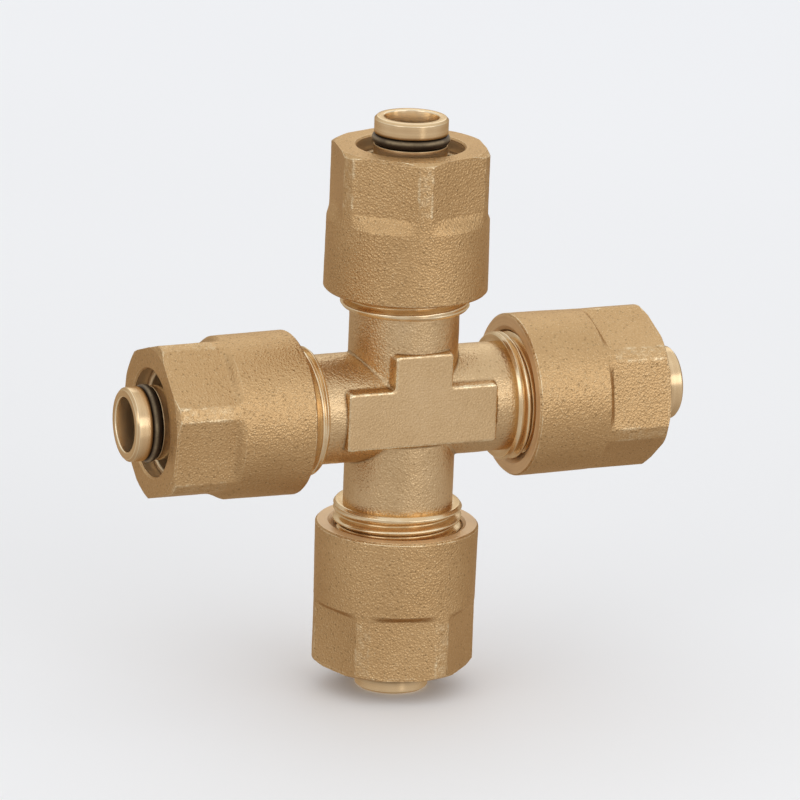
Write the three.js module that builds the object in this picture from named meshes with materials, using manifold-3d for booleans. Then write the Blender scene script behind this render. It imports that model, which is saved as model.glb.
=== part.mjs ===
// Compression cross fitting for 16 x 2 mm multilayer pipe, G 1/2 (ISO 228) threads.
// Millimetres, +Z up. The origin is where the two waterways cross; two arms lie
// along Z and two along X, and the flat pad of the forging faces -Y.
//
// Every arm is described once, in arm coordinates: +Z runs outward along the arm,
// z = 0 is the centre of the cross. arms[] below turns an arm into place.
import * as THREE from 'three';
import { mergeVertices } from 'three/addons/utils/BufferGeometryUtils.js';
import Module from 'manifold-3d';

const wasm = await Module();
wasm.setup();

// ---------------------------------------------------------------- dimensions
const PITCH = 1.814;            // G 1/2: 14 threads per inch
const MALE_CREST_R = 10.42;     // body thread, nominal major 20.955
const MALE_ROOT_R = 9.36;
const NUT_ROOT_R = 10.72;       // nut thread, running clearance all round
const NUT_CREST_R = 9.66;
const THREAD_SIDES = 20;

const REACH = 47.5;             // centre to nozzle tip
const NECK_R = 8.88;            // forged necks
const SHOULDER_Z = 16.3;        // neck ends, threaded cup begins
const CUP_END_Z = 32.5;
const CUP_FLOOR_Z = 24.0;       // pipe stop
const CUP_BORE_R = 8.25;        // takes the 16 mm pipe
const NOZZLE_R = 5.95;          // enters the 12 mm pipe bore
const WATERWAY_R = 4.4;
const NOZZLE_CHAMFER = 0.35;

const GROOVE_R = 4.95;          // O-ring grooves on the nozzle
const GROOVE_OUTER = [43.05, 44.85];
const GROOVE_INNER = [38.95, 40.75];
const ORING_IN_R = 5.2;
const ORING_OUT_R = 6.25;
const ORING_HALF = 0.68;

const WASHER = { inner: 6.25, outer: 7.95, z0: 24.3, z1: 25.5 };

const PAD_Y = 9.3;              // flat T-shaped pads, front and back
const PAD_HALF_W = 12.9;
const PAD_HALF_H = 4.8;
const STUB_HALF_W = 5.0;
const STUB_TOP = 10.45;

const NUT_LEN = 23.6;
const NUT_AF = 23.7;            // 24 mm spanner size
const SKIRT_LEN = 13.0;
const SKIRT_R = 13.25;          // at the open end
const CORNER_R = 13.1;          // hex corners are turned down to this
const NUT_HOLE_R = 8.65;
const CONE_START = [9.95, 16.5];  // radius, distance from the skirt's mouth
const CONE_END = [NUT_HOLE_R, 23.0];
const RELIEF_END = 16.2;

const RING_IN_R = 8.1;
const RING_FROM = 16.05;        // distances from the skirt's mouth
const RING_TO = 21.1;
const RING_MAX_R = 9.45;
const RING_NOSE_R = 8.74;
const RING_SLIT = 3.8;
const RING_SLOT = 0.9;

// mouth: where each nut's skirt begins. hex: angle of one corner about the arm.
// slit: angle of the split in the ring. start: angle at which the thread starts.
const deg = Math.PI / 180;
const arms = [
  { name: 'top',    turn: [0, 0, 0],             mouth: 19.2, hex: 18.8, slit: 250, start: 83.5 },
  { name: 'bottom', turn: [Math.PI, 0, 0],       mouth: 19.8, hex: 14.7, slit: 200, start: -50.4 },
  { name: 'left',   turn: [0, -Math.PI / 2, 0],  mouth: 19.6, hex: 49.4, slit: 300, start: 37.1 },
  { name: 'right',  turn: [0, Math.PI / 2, 0],   mouth: 18.8, hex: 50.9, slit: 100, start: -95 },
];

// ------------------------------------------------------------------- helpers
function signedVolume(position, index) {
  let v = 0;
  const a = new THREE.Vector3(), b = new THREE.Vector3(), c = new THREE.Vector3();
  for (let i = 0; i < index.length; i += 3) {
    a.fromBufferAttribute(position, index[i]);
    b.fromBufferAttribute(position, index[i + 1]);
    c.fromBufferAttribute(position, index[i + 2]);
    v += a.dot(b.cross(c));
  }
  return v;
}

function toSolid(geometry) {
  const g = geometry.clone();
  g.deleteAttribute('normal');
  g.deleteAttribute('uv');
  const m = mergeVertices(g, 1e-5);
  let tri = [];
  const idx = m.index.array;
  for (let i = 0; i < idx.length; i += 3) {
    const [a, b, c] = [idx[i], idx[i + 1], idx[i + 2]];
    if (a !== b && b !== c && c !== a) tri.push(a, b, c);
  }
  if (signedVolume(m.attributes.position, tri) < 0) {
    for (let i = 0; i < tri.length; i += 3) [tri[i + 1], tri[i + 2]] = [tri[i + 2], tri[i + 1]];
  }
  return new wasm.Manifold(new wasm.Mesh({
    numProp: 3,
    vertProperties: new Float32Array(m.attributes.position.array),
    triVerts: new Uint32Array(tri),
  }));
}

function toGeometry(solid) {
  const mesh = solid.getMesh();
  const g = new THREE.BufferGeometry();
  g.setAttribute('position', new THREE.BufferAttribute(new Float32Array(mesh.vertProperties), 3));
  g.setIndex(new THREE.BufferAttribute(new Uint32Array(mesh.triVerts), 1));
  g.computeVertexNormals();
  return g;
}

// A turned shape about Z from [radius, z] pairs, closed on the axis or on itself.
function turned(profile, sides) {
  return new THREE.LatheGeometry(profile.map(([r, z]) => new THREE.Vector2(r, z)), sides)
    .rotateX(Math.PI / 2);
}

// A right-handed V thread about Z as a closed solid; even rows carry rEven.
// z0 is a whole number of pitches, so every thread in an arm shares one helix.
function threadSolid(rEven, rOdd, turnsFrom, turnsTo) {
  const n = THREAD_SIDES;
  const rows = (turnsTo - turnsFrom) * 2;
  const at = (j, i) => {
    const r = j % 2 === 0 ? rEven : rOdd;
    const t = (2 * Math.PI * i) / n;
    return [r * Math.cos(t), r * Math.sin(t), PITCH * (turnsFrom + j / 2 + i / n)];
  };
  const pos = [];
  const idx = [];
  const tri = (...pts) => pts.forEach((p) => { idx.push(pos.length / 3); pos.push(...p); });
  for (let j = 0; j < rows; j++) {
    for (let i = 0; i < n; i++) {
      tri(at(j, i), at(j, i + 1), at(j + 1, i + 1));
      tri(at(j, i), at(j + 1, i + 1), at(j + 1, i));
    }
  }
  const low = [0, 0, PITCH * (turnsFrom - 1)];
  const high = [0, 0, PITCH * (turnsTo + 2)];
  for (let i = 0; i < n; i++) {
    tri(low, at(0, i + 1), at(0, i));
    tri(high, at(rows, i), at(rows, i + 1));
  }
  tri(low, at(0, 0), at(1, 0));
  tri(low, at(1, 0), at(2, 0));
  tri(high, at(rows + 1, 0), at(rows, 0));
  tri(high, at(rows + 2, 0), at(rows + 1, 0));
  const g = new THREE.BufferGeometry();
  g.setAttribute('position', new THREE.Float32BufferAttribute(pos, 3));
  g.setIndex(idx);
  return toSolid(g);
}

function turn(geometry, [x, y, z]) {
  return geometry.applyMatrix4(new THREE.Matrix4().makeRotationFromEuler(new THREE.Euler(x, y, z)));
}

function turnSolid(solid, angles) {
  return toSolid(turn(toGeometry(solid), angles));
}

const material = (color, roughness, metalness) =>
  new THREE.MeshStandardMaterial({ color, roughness, metalness });
const look = {
  forged: () => material(0xb08f60, 0.5, 1.0),
  turned: () => material(0xc8a670, 0.25, 1.0),
  rubber: () => material(0x231a16, 0.45, 0.0),
  washer: () => material(0xe8e2d2, 0.5, 0.0),
};

// ---------------------------------------------------------------- cross body
// One threaded cup with its shoulder, in arm coordinates.
function cupSolid(start) {
  const envelope = toSolid(turned([
    [0, SHOULDER_Z], [10.05, SHOULDER_Z], [MALE_CREST_R + 0.04, SHOULDER_Z + 0.4],
    [MALE_CREST_R + 0.04, CUP_END_Z - 0.75], [9.6, CUP_END_Z], [0, CUP_END_Z],
  ], THREAD_SIDES));
  return threadSolid(MALE_CREST_R, MALE_ROOT_R, 6, 20).rotate([0, 0, start]).intersect(envelope);
}

// Pipe socket, open at the cup's mouth, with a lead-in for the ring.
function socketSolid() {
  return toSolid(turned([
    [0, CUP_FLOOR_Z], [CUP_BORE_R, CUP_FLOOR_Z], [CUP_BORE_R, CUP_END_Z - 0.9],
    [CUP_BORE_R + 0.6, CUP_END_Z + 0.0], [CUP_BORE_R + 0.6, CUP_END_Z + 3], [0, CUP_END_Z + 3],
  ], THREAD_SIDES));
}

function nozzleSolid() {
  const [g0, g1] = GROOVE_INNER;
  const [h0, h1] = GROOVE_OUTER;
  return toSolid(turned([
    [0, CUP_FLOOR_Z - 2], [NOZZLE_R, CUP_FLOOR_Z - 2],
    [NOZZLE_R, g0], [GROOVE_R, g0], [GROOVE_R, g1], [NOZZLE_R, g1],
    [NOZZLE_R, h0], [GROOVE_R, h0], [GROOVE_R, h1], [NOZZLE_R, h1],
    [NOZZLE_R, REACH - NOZZLE_CHAMFER], [NOZZLE_R - NOZZLE_CHAMFER, REACH], [0, REACH],
  ], THREAD_SIDES));
}

function crossBody() {
  const bar = (r, half, sides) => turned([[0, -half], [r, -half], [r, half], [0, half]], sides);
  let body = toSolid(bar(NECK_R, SHOULDER_Z + 2, 32));
  body = body.add(toSolid(turn(bar(NECK_R, SHOULDER_Z + 2, 32), [0, Math.PI / 2, 0])));

  // The pads are part of the forging, a little proud of the necks.
  const padBar = new THREE.BoxGeometry(2 * PAD_HALF_W, 2 * PAD_Y, 2 * PAD_HALF_H);
  const stubH = STUB_TOP - PAD_HALF_H + 1;
  const stub = new THREE.BoxGeometry(2 * STUB_HALF_W, 2 * PAD_Y, stubH)
    .translate(0, 0, STUB_TOP - stubH / 2);
  body = body.add(toSolid(padBar)).add(toSolid(stub));

  for (const arm of arms) {
    const cup = cupSolid(arm.start).subtract(socketSolid()).add(nozzleSolid());
    body = body.add(turnSolid(cup, arm.turn));
  }
  const way = bar(WATERWAY_R, REACH + 2, 20);
  body = body.subtract(toSolid(way)).subtract(toSolid(turn(way.clone(), [0, Math.PI / 2, 0])));
  return body;
}

// ---------------------------------------------------------------- union nut
function nutSolid(mouth, hexAngle, start) {
  const S = mouth;
  const blank = toSolid(turned([
    [0, S], [SKIRT_R - 0.35, S], [SKIRT_R, S + 0.35], [CORNER_R, S + SKIRT_LEN],
    [CORNER_R, S + NUT_LEN - 0.5], [CORNER_R - 0.85, S + NUT_LEN], [0, S + NUT_LEN],
  ], 40));

  // Six flats, cut back to the ledge where the round skirt begins.
  const hexH = NUT_LEN - SKIRT_LEN + 4;
  const hex = new THREE.CylinderGeometry(NUT_AF / Math.sqrt(3), NUT_AF / Math.sqrt(3), hexH, 6)
    .rotateX(Math.PI / 2).rotateZ((hexAngle - 30) * deg)
    .translate(0, 0, S + SKIRT_LEN + hexH / 2);
  const round = turned([[0, S - 2], [16, S - 2], [16, S + SKIRT_LEN], [0, S + SKIRT_LEN]], 24);
  const outer = blank.intersect(toSolid(hex).add(toSolid(round)));

  const bore = toSolid(turned([
    [0, S - 1], [12.2, S - 1], [9.3, S + 1.75], [9.3, S + SKIRT_LEN - 0.4],
    [NUT_ROOT_R, S + SKIRT_LEN + 0.4], [NUT_ROOT_R, S + RELIEF_END],
    [CONE_START[0], S + CONE_START[1]], [CONE_END[0], S + CONE_END[1]],
    [NUT_HOLE_R, S + NUT_LEN - 0.3], [NUT_HOLE_R + 0.6, S + NUT_LEN + 0.3],
    [NUT_HOLE_R + 0.6, S + NUT_LEN + 1], [0, S + NUT_LEN + 1],
  ], THREAD_SIDES));
  const limit = toSolid(turned([
    [0, S - 0.5], [11.5, S - 0.5], [11.5, S + SKIRT_LEN + 0.6], [0, S + SKIRT_LEN + 0.6],
  ], THREAD_SIDES));
  const thread = threadSolid(NUT_ROOT_R, NUT_CREST_R, 7, 21).rotate([0, 0, start]).intersect(limit);
  return outer.subtract(bore.add(thread));
}

// -------------------------------------------------------------- split ring
function ringSolid(mouth, slitAngle) {
  const S = mouth;
  const ring = toSolid(turned([
    [RING_IN_R, S + RING_FROM], [RING_IN_R + 0.75, S + RING_FROM], [RING_MAX_R, S + RING_FROM + 0.85],
    [RING_MAX_R, S + 17.4], [RING_NOSE_R, S + RING_TO], [RING_IN_R, S + RING_TO],
    [RING_IN_R, S + RING_FROM],
  ], THREAD_SIDES));
  const slit = new THREE.BoxGeometry(6, RING_SLIT, 10)
    .translate(9, 0, S + 19.5).rotateZ(slitAngle * deg);
  const slot = new THREE.BoxGeometry(6, RING_SLOT, 4)
    .translate(-9, 0, S + RING_TO).rotateZ(slitAngle * deg);
  return ring.subtract(toSolid(slit)).subtract(toSolid(slot));
}

// ------------------------------------------------------------ seals, washers
function oRing([z0, z1]) {
  const zc = (z0 + z1) / 2;
  const h = ORING_HALF;
  const rc = (ORING_IN_R + ORING_OUT_R) / 2;
  return turned([
    [ORING_IN_R, zc - 0.3], [rc, zc - h], [ORING_OUT_R, zc - 0.3],
    [ORING_OUT_R, zc + 0.3], [rc, zc + h], [ORING_IN_R, zc + 0.3],
    [ORING_IN_R, zc - 0.3],
  ], 16);
}

function washer() {
  const { inner, outer, z0, z1 } = WASHER;
  return turned([[inner, z0], [outer, z0], [outer, z1], [inner, z1], [inner, z0]], 16);
}

// ------------------------------------------------------------------ assembly
function named(name, solid, mat) {
  const mesh = new THREE.Mesh(toGeometry(solid), mat);
  mesh.name = name;
  return mesh;
}

const fitting = new THREE.Group();
fitting.add(named('cross_body', crossBody(), look.forged()));

for (const arm of arms) {
  const group = new THREE.Group();
  group.rotation.set(...arm.turn);
  group.add(named(`union_nut_${arm.name}`, nutSolid(arm.mouth, arm.hex, arm.start), look.forged()));
  group.add(named(`split_ring_${arm.name}`, ringSolid(arm.mouth, arm.slit), look.turned()));
  group.add(named(`o_ring_outer_${arm.name}`, toSolid(oRing(GROOVE_OUTER)), look.rubber()));
  group.add(named(`o_ring_inner_${arm.name}`, toSolid(oRing(GROOVE_INNER)), look.rubber()));
  group.add(named(`pipe_washer_${arm.name}`, toSolid(washer()), look.washer()));
  fitting.add(group);
}

export default fitting;
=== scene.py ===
"""Brass compression cross for 16 mm multilayer pipe: the finished visual model.

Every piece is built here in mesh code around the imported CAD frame. Lengths in the
mesh code are millimetres in each arm's own frame (+Z outward along the arm); they
become metres when the mesh is made.
"""

import math

import bmesh
import bpy
import numpy as np
from mathutils import Matrix, Vector


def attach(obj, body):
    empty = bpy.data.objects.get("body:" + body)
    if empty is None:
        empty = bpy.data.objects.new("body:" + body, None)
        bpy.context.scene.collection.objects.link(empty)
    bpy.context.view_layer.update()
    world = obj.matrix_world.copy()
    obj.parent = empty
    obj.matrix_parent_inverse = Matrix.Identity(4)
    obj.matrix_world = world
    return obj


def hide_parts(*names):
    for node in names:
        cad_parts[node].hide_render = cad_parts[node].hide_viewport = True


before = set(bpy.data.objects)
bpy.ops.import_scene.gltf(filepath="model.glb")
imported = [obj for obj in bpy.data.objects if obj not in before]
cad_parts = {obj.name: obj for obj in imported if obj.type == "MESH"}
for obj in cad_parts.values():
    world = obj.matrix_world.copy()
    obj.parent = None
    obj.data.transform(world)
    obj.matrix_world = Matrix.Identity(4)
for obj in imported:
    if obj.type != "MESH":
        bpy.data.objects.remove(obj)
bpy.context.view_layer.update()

MM = 0.001
TAU = 2 * math.pi

# ------------------------------------------------------------------ dimensions
PITCH = 1.814
THREAD_MID = 9.89
THREAD_HALF = 0.53
NUT_PLAY = 0.30
NECK_R = 8.88
NUT_LEN = 23.6
NUT_AF = 23.7
CORNER_R = 13.1
SKIRT_R = 13.25
LEDGE = 13.0

ARMS = {
    # mouth: distance of the nut's open end from the centre. hex: angle of a corner.
    # slit: angle of the ring's split. start: angle at which the thread starts.
    # ledge: (start, end) of the step from flats to skirt, measured from the mouth.
    "top": dict(turn=Matrix.Identity(4), mouth=19.2, hex=18.8, slit=250.0, start=83.5, ledge=(11.7, 14.3), seed=11),
    "bottom": dict(turn=Matrix.Rotation(math.pi, 4, "X"), mouth=19.8, hex=14.7, slit=200.0, start=-50.4, ledge=(12.4, 13.65), seed=23),
    "left": dict(turn=Matrix.Rotation(-math.pi / 2, 4, "Y"), mouth=19.6, hex=49.4, slit=300.0, start=37.1, ledge=(12.05, 13.8), seed=37),
    "right": dict(turn=Matrix.Rotation(math.pi / 2, 4, "Y"), mouth=18.8, hex=50.9, slit=100.0, start=-95.0, ledge=(12.4, 13.65), seed=53),
}


# ----------------------------------------------------------------- mesh helpers
class Lattice:
    """Smooth seeded noise in three dimensions, about -1 to 1."""

    def __init__(self, seed, n=48):
        self.n = n
        self.v = np.random.default_rng(seed).uniform(-1, 1, (n, n, n))

    def __call__(self, p, scale):
        q = np.asarray(p, float) / scale + 1000.37
        i = np.floor(q).astype(int)
        f = q - i
        f = f * f * f * (f * (f * 6 - 15) + 10)
        out = 0
        for dx in (0, 1):
            for dy in (0, 1):
                for dz in (0, 1):
                    w = (
                        (f[..., 0] if dx else 1 - f[..., 0])
                        * (f[..., 1] if dy else 1 - f[..., 1])
                        * (f[..., 2] if dz else 1 - f[..., 2])
                    )
                    out = out + w * self.v[
                        (i[..., 0] + dx) % self.n,
                        (i[..., 1] + dy) % self.n,
                        (i[..., 2] + dz) % self.n,
                    ]
        return out


def smoothstep(a, b, x):
    t = np.clip((x - a) / (b - a), 0, 1)
    return t * t * (3 - 2 * t)


def smin(a, b, k):
    h = np.clip(0.5 + 0.5 * (b - a) / k, 0, 1)
    return b + (a - b) * h - k * h * (1 - h)


def smax(a, b, k):
    return -smin(-a, -b, k)


def rounded(points, step, corner=0.1, seg=3):
    """A closed profile with its corners rounded. points: (r, z[, corner radius[, step of
    the edge that follows]]). Returns rows of (r, z)."""
    pts = [
        (np.array(p[:2], float), p[2] if len(p) > 2 and p[2] is not None else corner, p[3] if len(p) > 3 else step)
        for p in points
    ]
    n = len(pts)
    arcs = []
    for i in range(n):
        a, b, c = pts[i - 1][0], pts[i][0], pts[(i + 1) % n][0]
        u, v = a - b, c - b
        lu, lv = np.linalg.norm(u), np.linalg.norm(v)
        u, v = u / lu, v / lv
        ang = math.acos(float(np.clip(u @ v, -1, 1)))
        rad = pts[i][1]
        if rad <= 0 or ang > math.pi - 0.05:
            arcs.append([b])
            continue
        t = min(rad / math.tan(ang / 2), 0.42 * lu, 0.42 * lv)
        rad = t * math.tan(ang / 2)
        mid = (u + v) / np.linalg.norm(u + v)
        centre = b + mid * rad / math.sin(ang / 2)
        p0, p1 = b + u * t, b + v * t
        a0 = math.atan2(*(p0 - centre)[::-1])
        a1 = math.atan2(*(p1 - centre)[::-1])
        d = (a1 - a0 + math.pi) % TAU - math.pi
        arcs.append(
            [centre + rad * np.array([math.cos(a0 + d * k / seg), math.sin(a0 + d * k / seg)]) for k in range(seg + 1)]
        )
    rows = []
    for i in range(n):
        rows.extend(arcs[i])
        a, b = arcs[i][-1], arcs[(i + 1) % n][0]
        m = max(1, int(math.ceil(np.linalg.norm(b - a) / pts[i][2])))
        rows.extend(a + (b - a) * k / m for k in range(1, m))
    return np.array(rows)


def curvature(P, wrap_rows=True, wrap_cols=True):
    """Convexity of a grid surface in 1/mm: positive on outer edges, negative in creases."""

    def nb(axis, k, wrap):
        q = np.roll(P, -k, axis)
        if not wrap:
            sl = [slice(None)] * 3
            sl[axis] = slice(-1, None) if k > 0 else slice(0, 1)
            q[tuple(sl)] = P[tuple(sl)]
        return q

    ra, rb = nb(0, 1, wrap_rows), nb(0, -1, wrap_rows)
    ca, cb = nb(1, 1, wrap_cols), nb(1, -1, wrap_cols)
    nrm = np.cross(ra - rb, ca - cb)
    nrm /= np.linalg.norm(nrm, axis=2, keepdims=True) + 1e-12
    out = 0
    for a, b in ((ra, rb), (ca, cb)):
        la = np.linalg.norm(a - P, axis=2) + 1e-6
        lb = np.linalg.norm(b - P, axis=2) + 1e-6
        ta, tb = (a - P) / la[..., None], (b - P) / lb[..., None]
        out = out - np.sum((ta + tb) * nrm, axis=2) * 2 / (la + lb)
    return out


# Curvature to a colour mark: outer edges brighten (wear, partly painted highlight), creases darken (painted shade).
def edge_wear_and_crease_shade(k, lo=0.7, hi=2.6):
    return smoothstep(lo, hi, k) - smoothstep(lo, hi, -k)


def make_object(name, co, faces, materials, index=None, wear_and_painted_light=None, grain=None, turn=None, ngons=()):
    """co in mm, faces an (n, 4) array. Faces are turned outward."""
    co = np.asarray(co, float).reshape(-1, 3)
    faces = np.asarray(faces, int)
    a, b, c, d = (co[faces[:, i]] for i in range(4))
    volume = np.sum(np.cross(a, b) * c) + np.sum(np.cross(a, c) * d)
    if volume < 0:
        faces = faces[:, ::-1]
        ngons = [g[::-1] for g in ngons]
    loops = np.concatenate([faces.reshape(-1)] + [np.asarray(g) for g in ngons]).astype(np.int32)
    sizes = np.concatenate([np.full(len(faces), 4)] + [[len(g)] for g in ngons]).astype(np.int32)
    mesh = bpy.data.meshes.new(name)
    mesh.vertices.add(len(co))
    mesh.vertices.foreach_set("co", (co * MM).astype(np.float32).reshape(-1))
    mesh.loops.add(len(loops))
    mesh.loops.foreach_set("vertex_index", loops)
    mesh.polygons.add(len(sizes))
    mesh.polygons.foreach_set("loop_start", (np.cumsum(sizes) - sizes).astype(np.int32))
    mesh.polygons.foreach_set("loop_total", sizes)
    for m in materials:
        mesh.materials.append(m)
    if index is not None:
        index = np.concatenate([np.asarray(index).reshape(-1), np.zeros(len(ngons), int)])
        mesh.polygons.foreach_set("material_index", index.astype(np.int32))
    mesh.polygons.foreach_set("use_smooth", np.ones(len(sizes), bool))
    mesh.update(calc_edges=True)
    # The first attribute holds edge wear together with painted highlights (positive values) and painted shade
    # (negative values).
    for label, data in (("wear_and_painted_light", wear_and_painted_light), ("grain", grain)):
        values = np.zeros(len(co)) if data is None else np.asarray(data, float).reshape(-1)
        if data is None and label == "grain":
            values += 1.0
        mesh.attributes.new(label, "FLOAT", "POINT").data.foreach_set("value", values.astype(np.float32))
    obj = bpy.data.objects.new(name, mesh)
    bpy.context.scene.collection.objects.link(obj)
    if turn is not None:
        obj.matrix_world = turn
    return obj


def grid_faces(rows, cols, wrap_rows=True, wrap_cols=True):
    i = np.arange(rows if wrap_rows else rows - 1)
    j = np.arange(cols if wrap_cols else cols - 1)
    i, j = np.meshgrid(i, j, indexing="ij")
    i1, j1 = (i + 1) % rows, (j + 1) % cols
    return np.stack([i * cols + j, i1 * cols + j, i1 * cols + j1, i * cols + j1], -1).reshape(-1, 4)


def polar(r, theta, z):
    return np.stack([r * np.cos(theta), r * np.sin(theta), np.broadcast_to(z, np.shape(r))], -1)


# -------------------------------------------------------------------- materials
def new_material(name):
    m = bpy.data.materials.new(name)
    m.use_nodes = True
    nt = m.node_tree
    nt.nodes.clear()
    out = nt.nodes.new("ShaderNodeOutputMaterial")
    bsdf = nt.nodes.new("ShaderNodeBsdfPrincipled")
    nt.links.new(bsdf.outputs["BSDF"], out.inputs["Surface"])
    return m, nt, bsdf


class Nodes:
    def __init__(self, nt):
        self.nt = nt

    def add(self, kind, **props):
        n = self.nt.nodes.new(kind)
        for k, v in props.items():
            setattr(n, k, v)
        return n

    def link(self, a, b):
        self.nt.links.new(a, b)

    def math(self, op, a, b=None, c=None, clamp=False):
        n = self.add("ShaderNodeMath", operation=op, use_clamp=clamp)
        for i, v in enumerate((a, b, c)):
            if v is None:
                continue
            if isinstance(v, (int, float)):
                n.inputs[i].default_value = v
            else:
                self.link(v, n.inputs[i])
        return n.outputs[0]

    def noise(self, vector, scale, detail=2.0, rough=0.5, distortion=0.0):
        n = self.add("ShaderNodeTexNoise")
        n.inputs["Scale"].default_value = scale
        n.inputs["Detail"].default_value = detail
        n.inputs["Roughness"].default_value = rough
        n.inputs["Distortion"].default_value = distortion
        self.link(vector, n.inputs["Vector"])
        return n.outputs["Fac"]

    def remap(self, value, a, b, c, d, clamp=True):
        n = self.add("ShaderNodeMapRange", clamp=clamp)
        self.link(value, n.inputs["Value"])
        for key, v in (("From Min", a), ("From Max", b), ("To Min", c), ("To Max", d)):
            n.inputs[key].default_value = v
        return n.outputs["Result"]

    def ramp(self, value, stops):
        n = self.add("ShaderNodeValToRGB")
        el = n.color_ramp.elements
        while len(el) > 1:
            el.remove(el[-1])
        el[0].position, el[0].color = stops[0][0], (*stops[0][1], 1)
        for pos, col in stops[1:]:
            e = el.new(pos)
            e.color = (*col, 1)
        self.link(value, n.inputs["Fac"])
        return n.outputs["Color"]

    def mix(self, fac, a, b, blend="MIX"):
        n = self.add("ShaderNodeMix", data_type="RGBA", blend_type=blend)
        for sock, v in ((n.inputs[0], fac), (n.inputs[6], a), (n.inputs[7], b)):
            if isinstance(v, tuple):
                sock.default_value = (*v, 1) if len(v) == 3 else v
            elif isinstance(v, (int, float)):
                sock.default_value = v
            else:
                self.link(v, sock)
        return n.outputs[2]

    def bump(self, height, strength, distance, normal=None):
        n = self.add("ShaderNodeBump")
        n.inputs["Distance"].default_value = distance
        if isinstance(strength, (int, float)):
            n.inputs["Strength"].default_value = strength
        else:
            self.link(strength, n.inputs["Strength"])
        self.link(height, n.inputs["Height"])
        if normal is not None:
            self.link(normal, n.inputs["Normal"])
        return n.outputs["Normal"]

    def coords(self, shift):
        t = self.add("ShaderNodeTexCoord")
        m = self.add("ShaderNodeMapping")
        m.inputs["Location"].default_value = shift
        self.link(t.outputs["Object"], m.inputs["Vector"])
        return t.outputs["Object"], m.outputs["Vector"]

    def attribute(self, name):
        return self.add("ShaderNodeAttribute", attribute_type="GEOMETRY", attribute_name=name).outputs["Fac"]


def cast_brass(name, shift, dark=(0.545, 0.342, 0.160), mid=(0.610, 0.393, 0.190), light=(0.675, 0.452, 0.230), rough=(0.34, 0.45), grain=1.0):
    """Hot-forged brass, sandblasted: fine pitted grain, edges brightened partly by wear and partly as painted
    highlights, painted shade in creases.
    """
    m, nt, bsdf = new_material(name)
    g = Nodes(nt)
    _, v = g.coords(shift)
    fine = g.noise(v, 4200, 2.0, 0.6)
    medium = g.noise(v, 2100, 2.0, 0.55, 0.15)
    broad = g.noise(v, 330, 2.0, 0.5)
    stain = g.noise(v, 62, 3.0, 0.5, 0.2)
    grains = g.add("ShaderNodeTexVoronoi", feature="F1")
    grains.inputs["Scale"].default_value = 2700
    g.link(v, grains.inputs["Vector"])
    dome = g.remap(grains.outputs["Distance"], 0.05, 0.75, 1.0, 0.0)
    pits = g.add("ShaderNodeTexVoronoi", feature="F1")
    pits.inputs["Scale"].default_value = 1150
    g.link(v, pits.inputs["Vector"])
    pit = g.remap(pits.outputs["Distance"], 0.10, 0.27, 0.0, 1.0)
    wear_and_painted_light = g.attribute("wear_and_painted_light")
    coarse = g.attribute("grain")

    tone = g.math("ADD", g.math("MULTIPLY", stain, 0.35), g.math("MULTIPLY", broad, 0.08))
    tone = g.math("ADD", tone, g.math("MULTIPLY", fine, 0.57))
    colour = g.ramp(tone, [(0.36, dark), (0.50, mid), (0.64, light)])
    low = g.math("SUBTRACT", 1.0, pit)
    colour = g.mix(g.math("MULTIPLY", g.math("MULTIPLY", low, coarse), 0.55), colour, (0.28, 0.17, 0.075))
    # Painted glints: bright specks mixed into the base colour where the grain would catch the light.
    painted_glint = g.math("MULTIPLY", g.math("MULTIPLY", g.remap(dome, 0.66, 0.92, 0.0, 0.75), g.remap(medium, 0.42, 0.58, 0.25, 1.0)), coarse)
    colour = g.mix(painted_glint, colour, (0.90, 0.72, 0.45))
    # Bright mix: worn edges together with painted highlights on edges, lands and rims.
    wear_and_highlight = g.math("MULTIPLY", g.remap(wear_and_painted_light, 0.05, 0.9, 0.0, 0.85), g.remap(fine, 0.36, 0.56, 0.2, 1.0))
    colour = g.mix(wear_and_highlight, colour, (0.95, 0.80, 0.54))
    # Painted shade: negative values darken creases, ledge steps and the insides of the nuts.
    painted_shade = g.remap(wear_and_painted_light, -0.05, -0.9, 0.0, 0.6)
    colour = g.mix(painted_shade, colour, (0.27, 0.165, 0.08))
    g.link(colour, bsdf.inputs["Base Color"])
    r = g.remap(g.math("ADD", g.math("MULTIPLY", medium, 0.6), g.math("MULTIPLY", stain, 0.4)), 0.35, 0.65, rough[0], rough[1])
    r = g.math("SUBTRACT", r, g.math("MULTIPLY", wear_and_highlight, 0.13))
    g.link(r, bsdf.inputs["Roughness"])
    height = g.math("ADD", g.math("MULTIPLY", fine, 0.34), g.math("MULTIPLY", medium, 0.14))
    height = g.math("ADD", height, g.math("MULTIPLY", dome, 0.36))
    height = g.math("ADD", height, g.math("MULTIPLY", pit, 0.16))
    strength = g.math("MULTIPLY", g.remap(coarse, 0.0, 1.0, 0.15, 0.85), g.remap(wear_and_painted_light, 0.0, 1.0, 1.0, 0.8))
    g.link(g.bump(height, strength, 0.00021 * grain), bsdf.inputs["Normal"])
    bsdf.inputs["Metallic"].default_value = 1.0
    bsdf.inputs["Specular Tint"].default_value = (0.96, 0.86, 0.70, 1)
    return m


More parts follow.
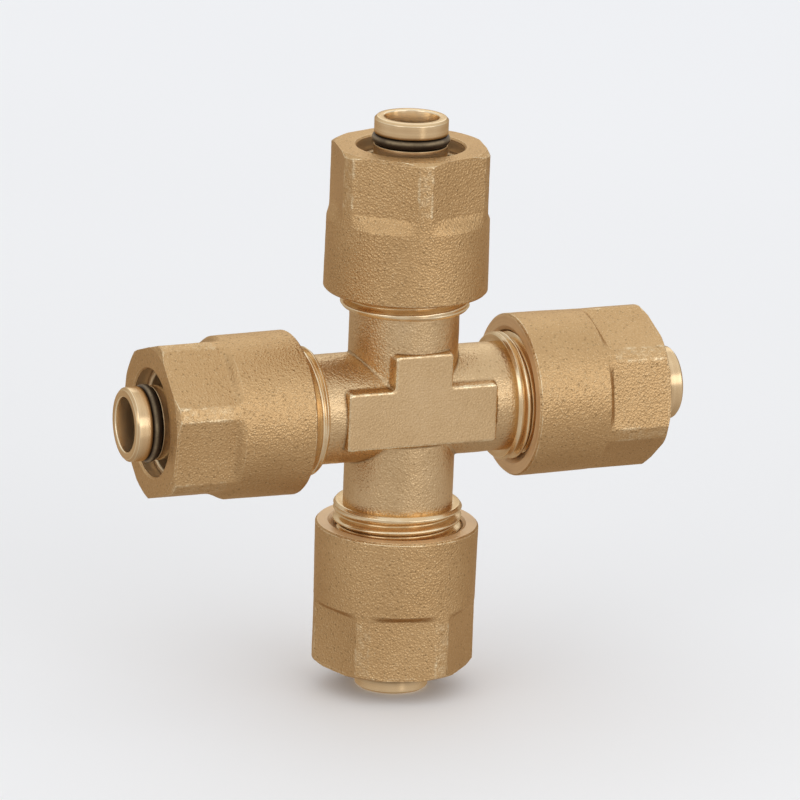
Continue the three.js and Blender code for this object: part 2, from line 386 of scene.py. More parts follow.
def turned_brass(name, shift, light=(0.84, 0.63, 0.38), mid=(0.75, 0.54, 0.31), dark=(0.58, 0.395, 0.205), rough=(0.17, 0.27), metallic=0.95):
    """Machined brass: turning marks run round the arm's axis."""
    m, nt, bsdf = new_material(name)
    g = Nodes(nt)
    raw, v = g.coords(shift)
    sep = g.add("ShaderNodeSeparateXYZ")
    g.link(raw, sep.inputs["Vector"])
    radius = g.math("SQRT", g.math("ADD", g.math("POWER", sep.outputs["X"], 2.0), g.math("POWER", sep.outputs["Y"], 2.0)))
    comb = g.add("ShaderNodeCombineXYZ")
    g.link(g.math("MULTIPLY", radius, 1.0), comb.inputs["X"])
    g.link(sep.outputs["Z"], comb.inputs["Y"])
    ring = g.noise(comb.outputs["Vector"], 6500, 2.0, 0.6)
    band = g.noise(comb.outputs["Vector"], 900, 2.0, 0.5)
    stain = g.noise(v, 160, 3.0, 0.55, 0.2)
    speck = g.noise(v, 2600, 2.0, 0.6)
    wear_and_painted_light = g.attribute("wear_and_painted_light")
    tone = g.math("ADD", g.math("MULTIPLY", stain, 0.45), g.math("MULTIPLY", band, 0.30))
    tone = g.math("ADD", tone, g.math("MULTIPLY", ring, 0.25))
    colour = g.ramp(tone, [(0.34, dark), (0.50, mid), (0.64, light)])
    # Inside a bore the colour is painted duller and paler than on the turned outside, lifting the bore out of its
    # shade: painted light.
    inside = g.math("SUBTRACT", 1.0, g.attribute("grain"))
    colour = g.mix(g.math("MULTIPLY", inside, 0.8), colour, (0.90, 0.745, 0.53))
    # Positive values paint edge wear and highlights brighter; negative values paint shade darker.
    colour = g.mix(g.remap(wear_and_painted_light, 0.1, 0.9, 0.0, 0.75), colour, (0.96, 0.82, 0.58))
    colour = g.mix(g.remap(wear_and_painted_light, -0.1, -0.9, 0.0, 0.8), colour, (0.20, 0.12, 0.055))
    g.link(colour, bsdf.inputs["Base Color"])
    r = g.remap(g.math("ADD", g.math("MULTIPLY", band, 0.5), g.math("MULTIPLY", stain, 0.5)), 0.35, 0.65, rough[0], rough[1])
    g.link(r, bsdf.inputs["Roughness"])
    height = g.math("ADD", g.math("MULTIPLY", ring, 0.7), g.math("MULTIPLY", speck, 0.3))
    g.link(g.bump(height, 0.35, 0.000022), bsdf.inputs["Normal"])
    bsdf.inputs["Metallic"].default_value = metallic
    bsdf.inputs["Specular Tint"].default_value = (0.96, 0.86, 0.68, 1)
    return m


def rubber(name):
    m, nt, bsdf = new_material(name)
    g = Nodes(nt)
    _, v = g.coords((0.01, 0.02, 0.03))
    a = g.noise(v, 2600, 2.0, 0.6)
    b = g.noise(v, 260, 2.0, 0.5)
    colour = g.ramp(b, [(0.35, (0.022, 0.013, 0.008)), (0.65, (0.042, 0.026, 0.016))])
    # A painted highlight: a lighter band along the crown of the ring.
    painted_crown_highlight = g.math("MULTIPLY", g.attribute("wear_and_painted_light"), g.remap(a, 0.3, 0.6, 0.55, 1.0))
    colour = g.mix(painted_crown_highlight, colour, (0.33, 0.255, 0.155))
    g.link(colour, bsdf.inputs["Base Color"])
    g.link(g.remap(a, 0.35, 0.65, 0.32, 0.44), bsdf.inputs["Roughness"])
    g.link(g.bump(a, 0.3, 0.00002), bsdf.inputs["Normal"])
    bsdf.inputs["Specular IOR Level"].default_value = 0.32
    bsdf.inputs["Specular Tint"].default_value = (1.0, 0.80, 0.60, 1)
    return m


def ptfe(name):
    m, nt, bsdf = new_material(name)
    g = Nodes(nt)
    _, v = g.coords((0.03, 0.01, 0.02))
    a = g.noise(v, 1900, 2.0, 0.55)
    b = g.noise(v, 220, 3.0, 0.5)
    colour = g.ramp(b, [(0.3, (0.66, 0.62, 0.54)), (0.7, (0.80, 0.77, 0.70))])
    g.link(colour, bsdf.inputs["Base Color"])
    g.link(g.remap(a, 0.35, 0.65, 0.42, 0.56), bsdf.inputs["Roughness"])
    g.link(g.bump(a, 0.25, 0.00002), bsdf.inputs["Normal"])
    bsdf.inputs["Subsurface Weight"].default_value = 0.15
    bsdf.inputs["Subsurface Radius"].default_value = (0.001, 0.0009, 0.0008)
    return m


BODY_CAST = cast_brass(
    "forged_body_brass", (0.013, 0.041, 0.007), grain=0.9, rough=(0.28, 0.40),
    dark=(0.61, 0.415, 0.220), mid=(0.69, 0.485, 0.268), light=(0.765, 0.560, 0.335),
)
RUBBER = rubber("black_rubber")
PTFE = ptfe("ptfe_white")


# --------------------------------------------------------------------- the core
def core_sdf(p):
    """Signed distance, mm, of the forged middle: crossed necks, T pads, waterways."""
    x, y, z = p[..., 0], p[..., 1], p[..., 2]
    ax, ay, az = np.abs(x), np.abs(y), np.abs(z)
    ryz, rxy = np.hypot(y, z), np.hypot(x, y)
    along_x = smax(ryz - NECK_R, ax - 17.2, 0.3)
    along_z = smax(rxy - NECK_R, az - 17.2, 0.3)
    d = smin(along_x, along_z, 0.34)

    def plate(cx, cz, hx, hz, r):
        qx, qz = np.abs(x - cx) - hx + r, np.abs(z - cz) - hz + r
        return np.hypot(np.maximum(qx, 0), np.maximum(qz, 0)) + np.minimum(np.maximum(qx, qz), 0) - r

    bar = plate(0, 0, 12.9, 4.8, 0.75)
    stub = plate(0, 5.225, 5.0, 5.225, 0.75)
    outline = smin(bar, stub, 0.5) - 0.085 * np.maximum(9.3 - ay, 0)
    r = 0.36
    a, b = outline + r, ay - 9.3 + r
    pad = np.minimum(np.maximum(a, b), 0) + np.hypot(np.maximum(a, 0), np.maximum(b, 0)) - r
    d = smin(d, pad, 0.26)
    return np.maximum(d, 4.45 - np.minimum(ryz, rxy))


def surface_net(f, lo, hi, h):
    """A closed quad mesh of f = 0, its vertices moved onto the surface."""
    lo, hi = np.array(lo, float), np.array(hi, float)
    n = np.ceil((hi - lo) / h).astype(int) + 1
    axes = [lo[i] + h * np.arange(n[i]) for i in range(3)]
    val = np.empty(n, np.float32)
    for i in range(n[0]):
        g = np.stack(np.meshgrid([axes[0][i]], axes[1], axes[2], indexing="ij"), -1)
        val[i] = f(g)[0]
    inside = val < 0
    acc = np.zeros((*(n - 1), 3), np.float32)
    cnt = np.zeros(n - 1, np.float32)
    for axis in range(3):
        s0 = [slice(None)] * 3
        s1 = [slice(None)] * 3
        s0[axis], s1[axis] = slice(0, -1), slice(1, None)
        v0, v1 = val[tuple(s0)], val[tuple(s1)]
        cross = (v0 < 0) != (v1 < 0)
        t = np.where(cross, v0 / np.where(cross, v0 - v1, 1), 0)
        others = [k for k in range(3) if k != axis]
        for da in (0, 1):
            for db in (0, 1):
                src = [slice(None)] * 3
                src[others[0]] = slice(da, n[others[0]] - 1 + da)
                src[others[1]] = slice(db, n[others[1]] - 1 + db)
                c, tt = cross[tuple(src)], t[tuple(src)]
                cnt += c
                acc[..., axis] += c * tt
                acc[..., others[0]] += c * da
                acc[..., others[1]] += c * db
    used = cnt > 0
    ids = np.full(n - 1, -1, np.int64)
    ids[used] = np.arange(used.sum())
    cell = np.stack(np.nonzero(used), -1)
    verts = lo + h * (cell + acc[used] / cnt[used][:, None])
    quads = []
    for axis in range(3):
        o = [k for k in range(3) if k != axis]
        s0 = [slice(1, -1)] * 3
        s1 = [slice(1, -1)] * 3
        s0[axis], s1[axis] = slice(0, -1), slice(1, None)
        in0, in1 = inside[tuple(s0)], inside[tuple(s1)]
        where = np.stack(np.nonzero(in0 != in1), -1)
        first = in0[tuple(where.T)]
        base = where.copy()
        base[:, o[0]] += 1
        base[:, o[1]] += 1
        ring = []
        for da, db in ((0, 0), (1, 0), (1, 1), (0, 1)):
            c = base.copy()
            c[:, o[0]] -= da
            c[:, o[1]] -= db
            ring.append(ids[tuple(c.T)])
        q = np.stack(ring, -1)
        flip = first if axis != 1 else ~first
        q[flip] = q[flip][:, ::-1]
        quads.append(q)
    quads = np.concatenate(quads)
    return verts, quads


def gradient(f, p, e):
    g = np.stack([f(p + np.eye(3)[k] * e) - f(p - np.eye(3)[k] * e) for k in range(3)], -1) / (2 * e)
    return g / (np.linalg.norm(g, axis=-1, keepdims=True) + 1e-9)


def build_core():
    verts, quads = surface_net(core_sdf, (-17.8, -9.9, -17.8), (17.8, 9.9, 17.8), 0.2)
    for _ in range(3):
        g = gradient(core_sdf, verts, 0.02)
        verts = verts - g * core_sdf(verts)[:, None]
    e = 0.16
    lap = sum(core_sdf(verts + np.eye(3)[k] * e) + core_sdf(verts - np.eye(3)[k] * e) for k in range(3)) / e**2
    # Painted shade in the creases between necks and pads; edges brightened partly by wear, partly as painted
    # highlight.
    wear_and_painted_light = edge_wear_and_crease_shade(lap, 0.55, 2.4)
    # Forged skin: slightly wavy on the necks, flatter on the pads.
    flat = smoothstep(9.16, 9.26, np.abs(verts[:, 1]))
    noise = Lattice(5)
    amount = noise(verts, 2.6) * 0.034 + noise(verts, 0.9) * 0.016
    g = gradient(core_sdf, verts, 0.05)
    verts = verts - g * np.maximum(amount + 0.012, 0)[:, None] * (1 - 0.8 * flat)[:, None]
    # The edges of the pads are knocked and uneven, so their brightening is broken up.
    wear_and_painted_light = wear_and_painted_light * np.where(wear_and_painted_light > 0, np.clip(0.62 + 0.75 * noise(verts, 0.8), 0.12, 1.0), 1.0)
    grain = 0.70 - 0.52 * flat
    obj = make_object("body_core", verts, quads, [BODY_CAST], wear_and_painted_light=wear_and_painted_light, grain=grain)
    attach(obj, "root")
    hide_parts("cross_body")
    return obj


# ------------------------------------------------------------------------- arms
def thread_wave(theta, z, start):
    """-1 in the root to 1 on the crest of a right-handed, rounded thread."""
    phase = z / PITCH - (theta - math.radians(start)) / TAU
    tri = 1 - 4 * np.abs(phase - np.round(phase))
    x = tri * 1.62
    top = 1.62 / (1 + 1.62**6) ** (1 / 6)
    return x / (1 + np.abs(x) ** 6) ** (1 / 6) / top


def build_arm(name, arm):
    """One end of the body: shoulder, threaded cup, pipe socket, nozzle with its grooves."""
    rows = rounded(
        [
            (4.4, 47.5, 0.22, 0.5),
            (5.55, 47.5, 0.20, 0.3),
            (5.95, 47.1, 0.16, 0.5),
            (5.95, 44.85, 0.10, 0.35),
            (4.95, 44.85, 0.14, 0.5),
            (4.95, 43.05, 0.14, 0.35),
            (5.95, 43.05, 0.10, 0.7),
            (5.95, 40.75, 0.10, 0.35),
            (4.95, 40.75, 0.14, 0.5),
            (4.95, 38.95, 0.14, 0.35),
            (5.95, 38.95, 0.10, 1.5),
            (5.95, 24.0, 0.25, 0.6),
            (8.25, 24.0, 0.25, 0.8),
            (8.25, 31.6, 0.2, 0.3),
            (8.85, 32.5, 0.08, 0.3),
            (9.6, 32.5, 0.1, 0.13),
            (10.46, 31.75, 0.1, 0.115),
            (10.46, 16.85, 0.25, 0.1),
            (10.05, 16.3, 0.22, 0.4),
            (8.0, 16.3, 0.0, 1.0),
            (8.0, 13.6, 0.0, 1.0),
            (4.4, 13.6, 0.0, 3.0),
        ],
        step=0.5,
        corner=0.1,
    )
    n = 168
    theta = (np.arange(n) / n * TAU)[None, :]
    r0, z0 = rows[:, :1], rows[:, 1:]
    r = np.broadcast_to(r0, (len(rows), n)).copy()
    thread = THREAD_MID + THREAD_HALF * thread_wave(theta, z0, arm["start"])
    depth = smoothstep(16.75, 17.45, z0)
    limited = r0 - depth * np.maximum(smax(r0 - thread, 0 * r0, 0.05), 0)
    outside = (r0 > 9.3) & (z0 > 16.5)
    r = np.where(outside, np.minimum(r, limited), r)
    P = polar(r, np.broadcast_to(theta, r.shape), np.broadcast_to(z0, r.shape))
    # A cut thread is never quite even, so its highlights come and go.
    uneven = Lattice(arm["seed"] + 17)
    dent = np.clip(uneven(P, 1.5) * 0.045 + uneven(P, 0.6) * 0.018 - 0.02, -0.08, 0.0)
    r = r + np.where((z0 > 17.2) & (z0 < 31.6) & (r0 > 9.3), dent, 0.0)
    P = polar(r, np.broadcast_to(theta, r.shape), np.broadcast_to(z0, r.shape))
    k = curvature(P)
    k = orient(P, k)
    wear_and_painted_light = edge_wear_and_crease_shade(k, 1.2, 5.0)
    # Painted shade darkens the nozzle next to its outer groove, widest on the bottom arm.
    reach = 0.95 if name == "bottom" else 0.28
    wear_and_painted_light = np.where((r0 > 5.6) & (r0 < 6.2) & (z0 > 44.8), wear_and_painted_light - 1.3 * np.exp(-(((z0 - 44.85) / reach) ** 2)), wear_and_painted_light)
    # Painted shade on the nozzle beside the outer O-ring, on the side towards the nut.
    wear_and_painted_light = np.where((z0 > 42.3) & (z0 < 43.2), np.minimum(wear_and_painted_light, 0.0) - 0.35, wear_and_painted_light)
    # Painted highlight on the thread: bright along the crests, broken up by noise, with the roots left duller.
    crest = smoothstep(9.5, 10.35, r)
    noise = Lattice(arm["seed"] + 11)
    broken = np.clip(0.50 + 1.0 * noise(P, 1.9) + 0.35 * noise(P, 0.5), 0.0, 1.0) * (0.7 if name == "right" else 1.0)
    wear_and_painted_light = np.where((z0 > 16.4) & (z0 < 32.0) & (r0 > 9.3), np.clip(wear_and_painted_light, -0.3, 1.0) * 0.35 + 0.55 * crest * broken + 0.16, wear_and_painted_light)
    # Zero marks the insides, which the turned brass paints paler to lift their shade.
    grain = np.where((r0 < 4.6) | ((z0 < 42.5) & (r0 < 9.0)), 0.0, 1.0) * np.ones_like(theta)
    mat = turned_brass(f"turned_brass_{name}", (arm["seed"] * 0.011, 0.017, arm["seed"] * 0.007))
    obj = make_object(f"body_arm_{name}", P, grid_faces(len(rows), n), [mat], wear_and_painted_light=wear_and_painted_light, grain=grain, turn=arm["turn"])
    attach(obj, "root")
    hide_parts("cross_body")
    return obj


def orient(P, k):
    """Gives curvature() the sign that belongs to outward-facing normals."""
    rows, cols = P.shape[:2]
    f = grid_faces(rows, cols)
    q = P.reshape(-1, 3)
    a, b, c, d = (q[f[:, i]] for i in range(4))
    volume = np.sum(np.cross(a, b) * c) + np.sum(np.cross(a, c) * d)
    return k if volume > 0 else -k


# ------------------------------------------------------------------------- nuts
def nut_columns(hex_deg):
    """Angles round the nut, closer together beside the twelve edges of the flats."""
    land = math.degrees(math.acos(NUT_AF / 2 / CORNER_R))
    angles = list(np.arange(0, 360, 0.9))
    for k in range(6):
        normal = hex_deg + 30 + 60 * k
        for side in (-1, 1):
            edge = normal + side * land
            angles += [edge + d for d in (-1.2, -0.8, -0.5, -0.25, 0.0, 0.25, 0.5, 0.8, 1.2)]
    angles = np.sort(np.array(angles) % 360)
    keep = [angles[0]]
    for a in angles[1:]:
        if a - keep[-1] > 0.16:
            keep.append(a)
    if keep[0] + 360 - keep[-1] < 0.16:
        keep.pop()
    return np.radians(np.array(keep))


def build_nut(name, arm):
    S = arm["mouth"]
    rows = rounded(
        [
            (11.25, 0.0, 0.06, 0.35),
            (12.92, 0.0, 0.10, 0.2),
            (13.25, 0.33, 0.22, 0.24),
            (13.118, 11.5, 0.0, 0.09),
            (13.1, 13.0, 0.0, 0.09),
            (13.1, 14.4, 0.0, 0.22),
            (13.1, 23.08, 0.10, 0.13),
            (12.2, 23.6, 0.10, 0.3),
            (8.95, 23.6, 0.08, 0.2),
            (8.65, 23.3, 0.08, 0.2),
            (8.65, 23.0, 0.05, 0.5),
            (9.95, 16.5, 0.1, 0.4),
            (10.72, 16.2, 0.2, 0.5),
            (10.72, 13.4, 0.1, 0.2),
            (9.66, 12.6, 0.1, 0.125),
            (9.66, 0.95, 0.1, 0.12),
        ],
        step=0.3,
    )
    theta = nut_columns(arm["hex"])[None, :]
    n = theta.size
    r0, u = rows[:, :1], rows[:, 1:]
    base = np.interp(u, [0, 0.33, 13.0, 23.08, 23.6], [13.25, 13.25, 13.1, 13.1, 12.2])
    delta = (theta - math.radians(arm["hex"] + 30)) % (TAU / 6)
    delta = np.where(delta > TAU / 12, delta - TAU / 6, delta)
    flat = NUT_AF / 2 / np.cos(delta)
    lo, hi = arm["ledge"]
    step = 0.45 * smoothstep(lo, hi, u) + 0.55 * np.clip((u - lo - 0.12) / (hi - lo - 0.24), 0, 1)
    limit = base + (smin(base, flat, 0.07) - base) * step
    inner = 10.95
    r = np.where(r0 > inner, inner + (r0 - inner) * (limit - inner) / (base - inner), r0)
    thread = THREAD_MID + NUT_PLAY + THREAD_HALF * thread_wave(theta, S + u, arm["start"])
    r = np.where((u < 15) & (r0 < 11.3), np.maximum(r, thread), r)
    z = np.broadcast_to(S + u, r.shape).copy()
    P = polar(r, np.broadcast_to(theta, r.shape), z)
    wear_and_painted_light = edge_wear_and_crease_shade(orient(P, curvature(P)), 0.9, 3.6)
    # The rounded corner lands take the knocks and carry painted highlights: brighter lands and broken bright lines
    # along the flats' edges.
    noise = Lattice(arm["seed"])
    outer = step * smoothstep(11.0, 12.0, r0) * (u < 23.3)
    land = smoothstep(0.02, 0.25, flat - base) * outer
    edge = np.exp(-(((flat - base) / 0.12) ** 2)) * outer
    land_scuff_and_highlight = np.clip(0.16 + 0.22 * noise(P, 0.85) + 0.16 * noise(P, 0.36), 0.06, 0.34)
    wear_and_painted_light = np.maximum(wear_and_painted_light, land_scuff_and_highlight * land)
    wear_and_painted_light = np.maximum(wear_and_painted_light, np.clip(0.32 + 0.70 * noise(P, 1.4) + 0.50 * noise(P, 0.45), 0.0, 0.75) * edge)
    near_ledge = smoothstep(lo - 0.7, lo - 0.3, u) * (1 - smoothstep(hi + 0.3, hi + 0.7, u)) * (r0 > 12.0)
    wear_and_painted_light = np.where(wear_and_painted_light > 0, wear_and_painted_light * (1 - 0.75 * near_ledge), wear_and_painted_light)
    # Painted shade along the step from the flats to the skirt, strongest on the right and bottom nuts.
    ledge_shade = {"right": 0.60, "bottom": 0.45, "left": 0.30}.get(name, 0.15)
    wear_and_painted_light = wear_and_painted_light - ledge_shade * np.exp(-(((u - (lo + hi) / 2 - 0.1) / 0.42) ** 2)) * smoothstep(0.25, 0.9, base - flat) * (r0 > 12.0)
    # Broken painted highlights along the rims, added to the edge wear.
    rim = (u > 22.6) | (u < 0.9)
    wear_and_painted_light = np.where((wear_and_painted_light > 0) & rim & (r0 > 11.9), np.clip(wear_and_painted_light * np.clip(0.85 + 1.1 * noise(P, 1.2) + 0.4 * noise(P, 0.4), 0.12, 1.6), 0, 1), wear_and_painted_light)
    # Painted shade inside the nut: the thread and the cone are darkened, the thread most.
    bore_shade = 0.45 - 0.33 * smoothstep(14.0, 18.0, u)
    wear_and_painted_light = np.where((r0 < 11.0) & (u > 0.5) & (u < 22.8), np.minimum(wear_and_painted_light, 0.2) - bore_shade, wear_and_painted_light)
    # In the nut's hole the grain value is halved: weaker blasting on the cast rows, and a paler painted colour on the
    # bore rows that lifts the hole's shade.
    grain = np.where((r0 < 9.5) & (u > 20.0), 0.5, 1.0) * np.ones_like(theta)

    # Forged skin: slow waviness and coarse blasted grain on the outside only.
    skin = (r0 > 11.4) & (u > 0.12)
    amount = noise(P, 5.5) * 0.034 + noise(P, 1.7) * 0.012 + noise(P, 0.6) * 0.009
    amount = np.where(skin, np.clip(amount - 0.02, -0.1, 0.0), 0)
    side = np.where(u > 23.55, 0.0, 1.0)
    r = r + amount * side
    z = z + np.where((u > 23.5) & (r0 > 9.3), amount, 0)
    P = polar(r, np.broadcast_to(theta, r.shape), z)

    faces = grid_faces(len(rows), n)
    turned = ((r0 < 11.6) & (u < 23.2)) | (u < 0.06)
    turned_row = (turned[:, 0] & np.roll(turned[:, 0], -1)).astype(int)
    index = np.repeat(turned_row, n)
    cast = cast_brass(f"cast_brass_{name}", (arm["seed"] * 0.013, arm["seed"] * 0.003, 0.021))
    bore = turned_brass(f"nut_bore_brass_{name}", (0.009, arm["seed"] * 0.005, 0.031), (0.88, 0.63, 0.36), (0.80, 0.55, 0.30), (0.66, 0.43, 0.22), (0.30, 0.44), 0.45)
    blast = np.where((r0 < 9.5) & (u > 20.0), grain, 1.0)
    obj = make_object(f"nut_{name}", P, faces, [cast, bore], index=index, wear_and_painted_light=wear_and_painted_light, grain=blast, turn=arm["turn"])
    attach(obj, f"nut_{name}")
    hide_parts(f"union_nut_{name}")
    return obj


# ------------------------------------------------------------------ split rings
def build_ring(name, arm):
    S = arm["mouth"]
    rows = rounded(
        [
            (8.1, 16.05, 0.08, 0.4),
            (8.85, 16.05, 0.1, 0.3),
            (9.55, 16.9, 0.15, 0.3),
            (9.55, 17.4, 0.2, 0.35),
            (8.84, 21.1, 0.06, 0.12),
            (8.32, 21.1, 0.05, 0.12),
            (8.1, 20.85, 0.05, 0.35),
        ],
        step=0.4,
    )
    t = np.linspace(0, 1, 150)
    mid = math.pi
    t = np.sort(np.concatenate([t, (np.array([-0.47, -0.45, -0.43, 0.43, 0.45, 0.47]) / 8.5) / TAU * 1.08 + 0.5]))
    r0, u = rows[:, :1], rows[:, 1:]
    half = np.arcsin(1.9 / r0)
    theta = half + (TAU - 2 * half) * t[None, :]
    r = np.broadcast_to(r0, theta.shape).copy()
    z = np.broadcast_to(u, theta.shape).copy()
    in_slot = np.abs(theta - mid) * r < 0.445
    z = np.where(in_slot, np.minimum(z, 19.1), z)
    noise = Lattice(arm["seed"] + 7)
    P = polar(r, theta + math.radians(arm["slit"]), S + z)
    P[..., :2] *= (1 + noise(P, 1.1) * 0.0006)[..., None]
    m, n = theta.shape
    faces = grid_faces(m, n, True, False)
    caps = [list(np.arange(m) * n)[::-1], list(np.arange(m) * n + n - 1)]
    k = curvature(P, True, False)
    q = P.reshape(-1, 3)
    a, b, c, d = (q[faces[:, i]] for i in range(4))
    sign = 1 if np.sum(np.cross(a, b) * c) + np.sum(np.cross(a, c) * d) > 0 else -1
    wear_and_painted_light = np.minimum(edge_wear_and_crease_shade(k * sign, 1.5, 6), 0.3)
    # The ring's nose is painted per ring: shade on the top ring, a highlight on the left ring.
    nose = smoothstep(20.6, 20.8, u) * np.ones_like(theta)
    wear_and_painted_light = wear_and_painted_light + {"top": -0.3, "left": 0.5}.get(name, 0.0) * nose
    # The first cap must face away from the strip like the strip's own faces do.
    mat = turned_brass(
        f"ring_brass_{name}", (0.019, 0.027, arm["seed"] * 0.009),
        light=(0.86, 0.66, 0.41), mid=(0.78, 0.58, 0.34), dark=(0.62, 0.43, 0.23), rough=(0.30, 0.42), metallic=0.70,
    )
    obj = make_object(f"ring_{name}", P, faces, [mat], wear_and_painted_light=wear_and_painted_light, turn=arm["turn"], ngons=caps)
    clean(obj)
    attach(obj, f"ring_{name}")
    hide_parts(f"split_ring_{name}")
    return obj


def clean(obj):
    bm = bmesh.new()
    bm.from_mesh(obj.data)
    bmesh.ops.remove_doubles(bm, verts=bm.verts, dist=1e-6)
    bmesh.ops.dissolve_degenerate(bm, edges=bm.edges, dist=1e-7)
    bmesh.ops.recalc_face_normals(bm, faces=bm.faces)
    bm.to_mesh(obj.data)
    bm.free()


# --------------------------------------------------------------- seals, washers
def build_o_ring(name, arm, which):
    """A moulded ring in its groove, flattened a little, with a painted highlight along its crown."""
    centre = {"outer": 43.95, "inner": 39.85}[which]
    m, n = 36, 144
    a = (np.arange(m) / m * TAU)[:, None]
    th = (np.arange(n) / n * TAU)[None, :]
    rr, rz = 0.615, 0.72
    p = 2.25
    ca, sa = np.cos(a), np.sin(a)
    scale = (np.abs(ca) ** p + np.abs(sa) ** p) ** (-1 / p)
    r = 5.63 + rr * scale * ca + 0 * th
    z = centre + rz * scale * sa + 0 * th
    P = polar(r, np.broadcast_to(th, r.shape), z)
    # Painted highlight band on the outer crown of the section, broken by noise.
    bend = (a - math.radians(30.0) + math.pi) % TAU - math.pi
    painted_crown_highlight = 1.0 * np.exp(-((bend / 0.36) ** 2)) * np.clip(0.8 + 0.5 * Lattice(arm["seed"] + 5)(P, 1.6), 0.2, 1.0)
    obj = make_object(f"oring_{which}_{name}", P, grid_faces(m, n), [RUBBER], wear_and_painted_light=painted_crown_highlight, turn=arm["turn"])
    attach(obj, "root")
    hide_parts(f"o_ring_{which}_{name}")
    return obj


def build_washer(name, arm):
    rows = rounded([(6.25, 24.3), (7.95, 24.3), (7.95, 25.5), (6.25, 25.5)], step=0.4, corner=0.14)
    n = 112
    th = (np.arange(n) / n * TAU)[None, :]
    r = np.broadcast_to(rows[:, :1], (len(rows), n))
    P = polar(r, np.broadcast_to(th, r.shape), np.broadcast_to(rows[:, 1:], r.shape))
    noise = Lattice(arm["seed"] + 3)
    P[..., 2] += noise(P, 2.5) * 0.012
    obj = make_object(f"washer_{name}", P, grid_faces(len(rows), n), [PTFE], turn=arm["turn"])
    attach(obj, "root")
    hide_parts(f"pipe_washer_{name}")
    return obj


build_core()
for arm_name, arm in ARMS.items():
    build_arm(arm_name, arm)
    build_nut(arm_name, arm)
    build_ring(arm_name, arm)
    build_o_ring(arm_name, arm, "outer")
    build_o_ring(arm_name, arm, "inner")
    build_washer(arm_name, arm)


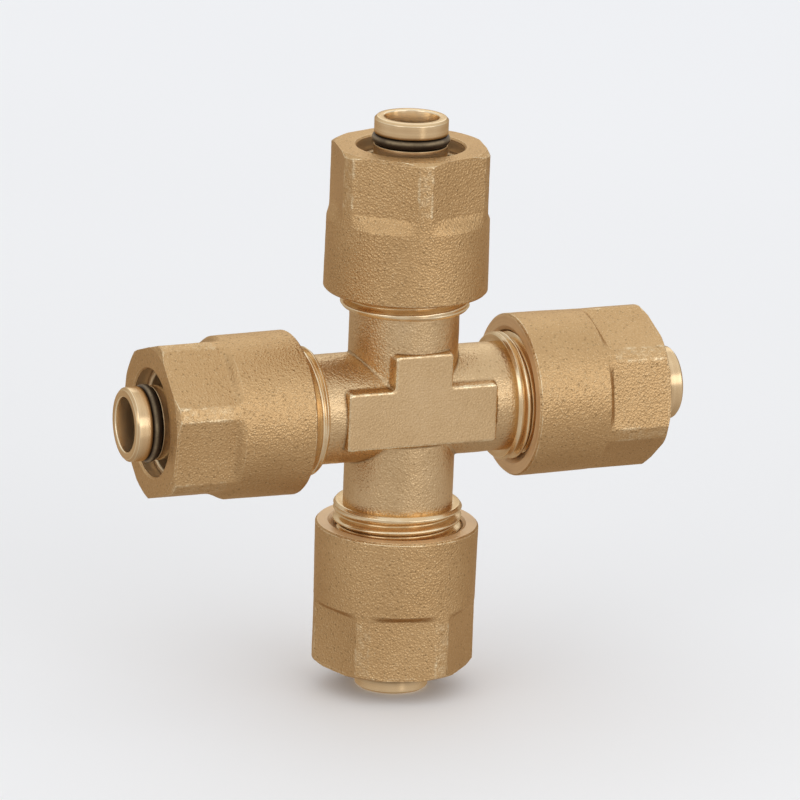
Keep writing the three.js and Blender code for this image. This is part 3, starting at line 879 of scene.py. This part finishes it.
# ----------------------------------------------------------------------- studio
def studio():
    """A pale floor that curves up far away all round, and plain soft light."""
    m, nt, bsdf = new_material("studio_floor")
    g = Nodes(nt)
    _, v = g.coords((0, 0, 0))
    soft = g.noise(v, 3.0, 2.0, 0.5)
    g.link(g.ramp(soft, [(0.3, (0.915, 0.915, 0.92)), (0.7, (0.945, 0.945, 0.95))]), bsdf.inputs["Base Color"])
    bsdf.inputs["Roughness"].default_value = 0.9
    bsdf.inputs["Specular IOR Level"].default_value = 0.1
    floor_z = -0.0475 - 0.00002
    flat_r, curve_r, top = 1.9, 0.9, 1.9
    prof = [(0.0001, 0.0), (0.2, 0.0), (0.8, 0.0), (flat_r, 0.0)]
    prof += [
        (flat_r + curve_r * math.sin(a), curve_r * (1 - math.cos(a)))
        for a in np.linspace(0.05, math.pi / 2, 24)
    ]
    prof += [(flat_r + curve_r, top)]
    prof = np.array(prof)
    n = 96
    th = (np.arange(n) / n * TAU)[None, :]
    r = np.broadcast_to(prof[:, :1], (len(prof), n))
    z = np.broadcast_to(prof[:, 1:] + floor_z, r.shape)
    P = polar(r, np.broadcast_to(th, r.shape), z) / MM
    faces = grid_faces(len(prof), n, False, True)
    mesh = bpy.data.meshes.new("floor")
    mesh.from_pydata([tuple(c) for c in (P.reshape(-1, 3) * MM)], [], [tuple(int(i) for i in f) for f in faces])
    mesh.materials.append(m)
    mesh.polygons.foreach_set("use_smooth", np.ones(len(faces), bool))
    floor = bpy.data.objects.new("floor", mesh)
    bpy.context.scene.collection.objects.link(floor)
    floor.visible_glossy = False
    floor.visible_diffuse = False
    floor.visible_shadow = False

    world = bpy.data.worlds.new("studio")
    bpy.context.scene.world = world
    world.use_nodes = True
    nt = world.node_tree
    nt.nodes.clear()
    g = Nodes(nt)
    out = g.add("ShaderNodeOutputWorld")
    bg = g.add("ShaderNodeBackground")
    tc = g.add("ShaderNodeTexCoord")
    sep = g.add("ShaderNodeSeparateXYZ")
    g.link(tc.outputs["Generated"], sep.inputs["Vector"])
    up = g.remap(sep.outputs["Z"], -1.0, 1.0, 0.0, 1.0)
    stops = [
        (-1.0, (0.43, 0.39, 0.35)), (-0.68, (0.570, 0.527, 0.487)), (-0.27, (0.615, 0.582, 0.549)), (0.0, (0.640, 0.626, 0.611)),
        (0.44, (0.72, 0.72, 0.72)), (0.87, (0.92, 0.93, 0.94)), (1.0, (0.96, 0.97, 0.98)),
    ]
    colour = g.ramp(up, [((z + 1) / 2, c) for z, c in stops])
    # Low down, the far side of the room is darker and warmer than the side with the lights.
    front = g.math("ADD", g.math("MULTIPLY", sep.outputs["X"], -0.391), g.math("MULTIPLY", sep.outputs["Y"], -0.921))
    back = g.math("MULTIPLY", g.remap(front, 0.15, -0.75, 0.0, 1.0), g.remap(sep.outputs["Z"], 0.1, 0.45, 1.0, 0.0))
    colour = g.mix(back, colour, (0.76, 0.68, 0.60), "MULTIPLY")
    g.link(colour, bg.inputs["Color"])
    bg.inputs["Strength"].default_value = 1.0
    g.link(bg.outputs["Background"], out.inputs["Surface"])

    def softbox(name, az, el, dist, size, watts, colour=(1, 1, 1)):
        data = bpy.data.lights.new(name, "AREA")
        data.shape = "RECTANGLE"
        data.size, data.size_y = size
        data.energy = watts
        data.color = colour
        obj = bpy.data.objects.new(name, data)
        bpy.context.scene.collection.objects.link(obj)
        a, e = math.radians(az), math.radians(el)
        d = Vector((math.cos(a) * math.cos(e), math.sin(a) * math.cos(e), math.sin(e)))
        obj.location = d * dist
        obj.rotation_euler = (-d).to_track_quat("-Z", "Y").to_euler()
        return obj

    softbox("key_right", 296, 20, 1.1, (1.10, 0.50), 1.98, (0.97, 1.0, 1.05))
    softbox("key_left", 208, 20, 1.1, (0.60, 0.50), 1.10, (0.97, 1.0, 1.05))
    softbox("low_right", 283, -4, 1.1, (0.22, 0.80), 0.26, (1.0, 0.99, 0.97))
    softbox("front", 249, 10, 1.3, (0.45, 0.50), 0.14)
    softbox("rim_back", 60, 30, 1.2, (0.80, 0.60), 1.00, (0.88, 1.0, 1.22))


studio()


# ----------------------------------------------------------------------- camera
def camera():
    az, el, roll = math.radians(-23.158), math.radians(15.837), math.radians(2.134)
    dist, focal, tx, ty = 1103.2, 6849.0, 0.187, -0.463
    d = Vector((math.sin(az) * math.cos(el), -math.cos(az) * math.cos(el), math.sin(el)))
    fwd = -d
    right = fwd.cross(Vector((0, 0, 1))).normalized()
    up = right.cross(fwd).normalized()
    r = right * math.cos(roll) + up * math.sin(roll)
    u = up * math.cos(roll) - right * math.sin(roll)
    place = (-tx * r - ty * u - dist * fwd) * MM
    data = bpy.data.cameras.new("camera")
    data.sensor_width = 36.0
    data.lens = focal * 36.0 / 800.0
    data.clip_start, data.clip_end = 0.01, 20.0
    cam = bpy.data.objects.new("camera", data)
    m = Matrix((
        (r.x, u.x, d.x, place.x),
        (r.y, u.y, d.y, place.y),
        (r.z, u.z, d.z, place.z),
        (0, 0, 0, 1),
    ))
    bpy.context.scene.collection.objects.link(cam)
    cam.matrix_world = m
    bpy.context.scene.camera = cam


camera()
bpy.context.scene.view_settings.view_transform = "Standard"
bpy.context.scene.view_settings.look = "None"
